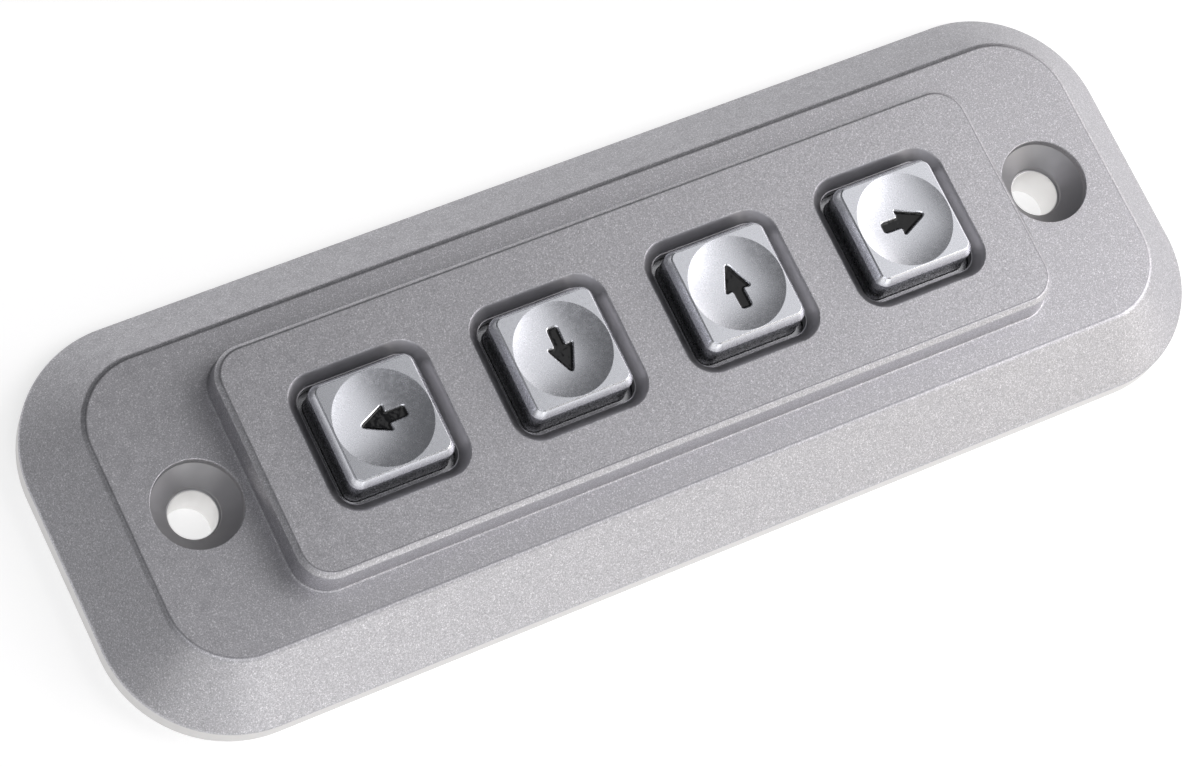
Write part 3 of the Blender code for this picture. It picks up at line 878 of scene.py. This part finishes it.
def make_board(laminate, gold):
    """The circuit board, with two comb-shaped contact pads under each dome."""
    half = half_of("circuit_board")
    low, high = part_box("circuit_board")
    board = block("board", (half.x, half.y), POCKET_RADIUS, low.z, high.z, 0.00006)
    piece(board, "housing", laminate, ["circuit_board"])
    thick = 0.00003
    for name in HEADINGS:
        x = centre_of(f"dome_{name}").x
        for side in (-1, 1):
            finger_half = (0.00022, 0.0013)
            comb = block(f"pad_{name}_{side}", (0.0014, 0.00018), 0.00006, high.z, high.z + thick,
                         at=(x, side * 0.0015), arc_steps=3)
            fingers = []
            for finger in (-1, 0, 1):
                at = (x + finger * 0.0011 + side * 0.00028, side * 0.00018)
                fingers.append(block(f"finger_{name}_{side}_{finger}", finger_half, 0.00006, high.z,
                                     high.z + thick, at=at, arc_steps=3))
            combine(comb, fingers, "UNION")
            piece(comb, "housing", gold)
    return high


# ---------------------------------------------------------------- back


def make_cover(look):
    half = half_of("rear_cover")
    low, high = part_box("rear_cover")
    thickness = 0.0010
    cover = block("cover_plate", (half.x, half.y), POCKET_RADIUS, low.z, low.z + thickness, COVER_EDGE)
    ribs = []
    for side in (-1, 1):
        ribs.append(
            block(f"rib_{side}", (0.0340, 0.0006), 0.0005, low.z + thickness / 2, high.z, 0.0002,
                  at=(0.0, side * 0.0096))
        )
    combine(cover, ribs, "UNION")
    x = centre_of("header").x
    bottom, top = low.z - BEYOND, high.z + BEYOND
    cutters = [block("slot", SLOT_HALF, SLOT_RADIUS, bottom, top, at=(x, 0.0))]
    for name, at in screw_places().items():
        cutters.append(rod(f"{name}_clearance", COVER_HOLE_RADIUS, bottom, top, at))
    combine(cover, cutters)
    piece(cover, "housing", look, ["rear_cover"])


def make_screw(node, at, look):
    """A low pan-head screw with a cross recess and a rolled thread, its head down."""
    low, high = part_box(node)
    head_radius = half_of(node).x
    head_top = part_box("rear_cover")[0].z - 0.0003
    shank = SCREW_RADIUS - 0.00012
    profile = [(0.0, low.z), (head_radius * 0.62, low.z), (head_radius, (low.z + head_top) / 2)]
    profile += [(head_radius, head_top), (shank, head_top)]
    z = head_top + 0.0009
    while z < high.z - 0.0008:
        profile.append((shank, z))
        profile += [(SCREW_RADIUS, z + THREAD_PITCH * share) for share in (0.4, 0.55)]
        z += THREAD_PITCH
    profile += [(shank, z), (shank * 0.6, high.z), (0.0, high.z)]
    screw = turned(f"{node}_steel", softened(profile, 0.00006, 2), at, 48)
    depth = low.z + RECESS_DEPTH
    bars = [
        block(f"{node}_slot_x", RECESS_HALF, 0.0001, low.z - BEYOND, depth, at=at, arc_steps=3),
        block(f"{node}_slot_y", RECESS_HALF[::-1], 0.0001, low.z - BEYOND, depth, at=at, arc_steps=3),
    ]
    combine(screw, bars)
    piece(screw, "housing", look, [node])


def make_header(plastic, gold):
    """A pin header: one notched body, and square pins that end in points."""
    low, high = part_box("header")
    centre = centre_of("header")
    half = half_of("header")
    body = block("header_body", (half.x, half.y), 0.0001, low.z, high.z, 0.00008, (centre.x, centre.y), 4)
    cutters = []
    for gap in range(1, PIN_COUNT):
        x = low.x + gap * PIN_PITCH
        for side in (-1, 1):
            notch = block(f"notch_{gap}_{side}", (0.00032, 0.00032), 0.00002, low.z - BEYOND, high.z + BEYOND,
                          at=(0.0, 0.0), arc_steps=2)
            notch.data.transform(Matrix.Rotation(radians(45), 4, "Z"))
            notch.data.transform(Matrix.Translation((x, centre.y + side * half.y, 0.0)))
            cutters.append(notch)
    for number in range(1, PIN_COUNT + 1):
        pin = centre_of(f"header_pin_{number}")
        side = half_of(f"header_pin_{number}").x + 0.00002
        cutters.append(block(f"pin_hole_{number}", (side, side), 0.00002, low.z - BEYOND, high.z + BEYOND,
                             at=(pin.x, pin.y), arc_steps=2))
    combine(body, cutters)
    piece(body, "housing", plastic, ["header"])
    for number in range(1, PIN_COUNT + 1):
        node = f"header_pin_{number}"
        pin_low, pin_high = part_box(node)
        side = half_of(node).x
        tip = (side * 0.45, side * 0.45)
        sections = [
            (tip, side * 0.1, pin_low.z),
            ((side, side), side * 0.15, pin_low.z + PIN_POINT),
            ((side, side), side * 0.15, pin_high.z),
        ]
        pin = loft(f"pin_{number}", sections, tuple(centre_of(node).xy), 3)
        piece(pin, "housing", gold, [node])


def make_gasket(look):
    """A moulded rubber ring whose lower face is a soft bead."""
    half = half_of("panel_gasket")
    low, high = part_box("panel_gasket")
    bezel_half = half_of("bezel")
    inset = bezel_half.x - half.x
    width = GROOVE_WIDTH - 2 * (inset - GROOVE_INSET)
    radius = BASE_RADIUS - inset
    arc_steps = 24
    bead = 0.00035
    outline = fillet((half.x, half.y), radius, low.z, (-width / 2, 0.0), (0.0, bead), 6)
    outline += [((half.x, half.y), radius, high.z)]
    inner = grown((half.x, half.y), -width)
    inner_radius = radius - width
    outline += [(inner, inner_radius, high.z)]
    outline += fillet(inner, inner_radius, low.z, (0.0, bead), (width / 2, 0.0), 6)[:-1]
    bm = bmesh.new()
    rows = [[bm.verts.new(p) for p in rounded_rectangle(h, r, z, arc_steps)] for h, r, z in outline]
    for row, following in zip(rows, rows[1:] + rows[:1]):
        for i in range(len(row)):
            j = (i + 1) % len(row)
            bm.faces.new((row[i], row[j], following[j], following[i]))
    piece(add_object("gasket_ring", bm), "housing", look, ["panel_gasket"], sharp=60)


# ---------------------------------------------------------------- studio


def add_camera():
    azimuth, elevation = radians(VIEW_AZIMUTH), radians(VIEW_ELEVATION)
    away = Vector((-sin(azimuth) * cos(elevation), -cos(azimuth) * cos(elevation), sin(elevation)))
    camera = bpy.data.objects.new("camera", bpy.data.cameras.new("camera"))
    bpy.context.scene.collection.objects.link(camera)
    camera.location = VIEW_TARGET + away * VIEW_DISTANCE
    level = (-away).to_track_quat("-Z", "Y").to_matrix()
    camera.rotation_euler = (level @ Matrix.Rotation(radians(VIEW_ROLL), 3, "Z")).to_euler()
    camera.data.lens = VIEW_LENS
    camera.data.sensor_width = 36.0
    camera.data.clip_start = 0.01
    bpy.context.scene.camera = camera


def add_softbox(name, azimuth, elevation, watts, colour):
    """A square soft light that faces the keypad. azimuth is in degrees from +X towards +Y."""
    distance, size = 0.50, 0.34
    a, e = radians(azimuth), radians(elevation)
    toward = Vector((cos(a) * cos(e), sin(a) * cos(e), sin(e)))
    light = bpy.data.objects.new(name, bpy.data.lights.new(name, "AREA"))
    light.data.shape = "SQUARE"
    light.data.size = size
    light.data.energy = watts
    light.data.color = colour
    light.location = toward * distance
    light.rotation_euler = toward.to_track_quat("Z", "Y").to_euler()
    bpy.context.scene.collection.objects.link(light)


def add_studio():
    floor_size = 2.4
    bm = bmesh.new()
    bmesh.ops.create_grid(bm, x_segments=1, y_segments=1, size=floor_size / 2)
    floor = add_object("floor", bm)
    floor.location.z = -0.00002
    look = Look("floor_white", (0.50, 0.50, 0.50), 0.9)
    look.shader.inputs["Emission Color"].default_value = (1.0, 1.0, 1.0, 1.0)
    look.shader.inputs["Emission Strength"].default_value = 0.66
    floor.data.materials.append(look.material)
    world = bpy.data.worlds.new("studio")
    world.use_nodes = True
    background = world.node_tree.nodes["Background"]
    background.inputs["Color"].default_value = (0.95, 0.97, 1.0, 1.0)
    background.inputs["Strength"].default_value = 0.11
    bpy.context.scene.world = world
    add_softbox("key_light", -22, 38, 1.20, (1.0, 0.978, 0.99))
    add_softbox("right_fill", 12, 24, 0.54, (1.0, 0.96, 0.95))
    add_softbox("front_light", -90, 8, 0.62, (1.0, 0.99, 0.97))
    add_softbox("corner_light", -45, 12, 0.52, (1.0, 0.96, 0.88))
    add_softbox("left_light", 225, 12, 0.32, (1.0, 0.99, 0.97))
    add_softbox("camera_light", 240, 62, 0.65, (0.98, 0.98, 1.0))
    add_softbox("top_light", 10, 55, 0.25, (1.0, 1.0, 1.0))
    add_softbox("back_light", 175, 20, 0.08, (0.98, 0.98, 1.0))
    bpy.context.scene.view_settings.view_transform = "Standard"


# ---------------------------------------------------------------- assembly

chrome = satin_chrome()
black_ink = arrow_ink()
rubber_silicone = silicone()
carbon_pill = carbon()
gold = gold_plate()
steel_screw = zinc_screw()

make_bezel(silver_paint(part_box("bezel")[1].z))
for key_name, arrow_heading in HEADINGS.items():
    make_key(key_name, arrow_heading, chrome, black_ink)
    make_dome(key_name, rubber_silicone)
    make_contact(key_name, carbon_pill)
make_keymat(rubber_silicone)
make_board(board_laminate(), gold)
make_cover(zinc_sheet())
for screw_node, screw_at in screw_places().items():
    make_screw(screw_node, screw_at, steel_screw)
make_header(black_plastic(), gold)
make_gasket(gasket_rubber())
add_camera()
add_studio()
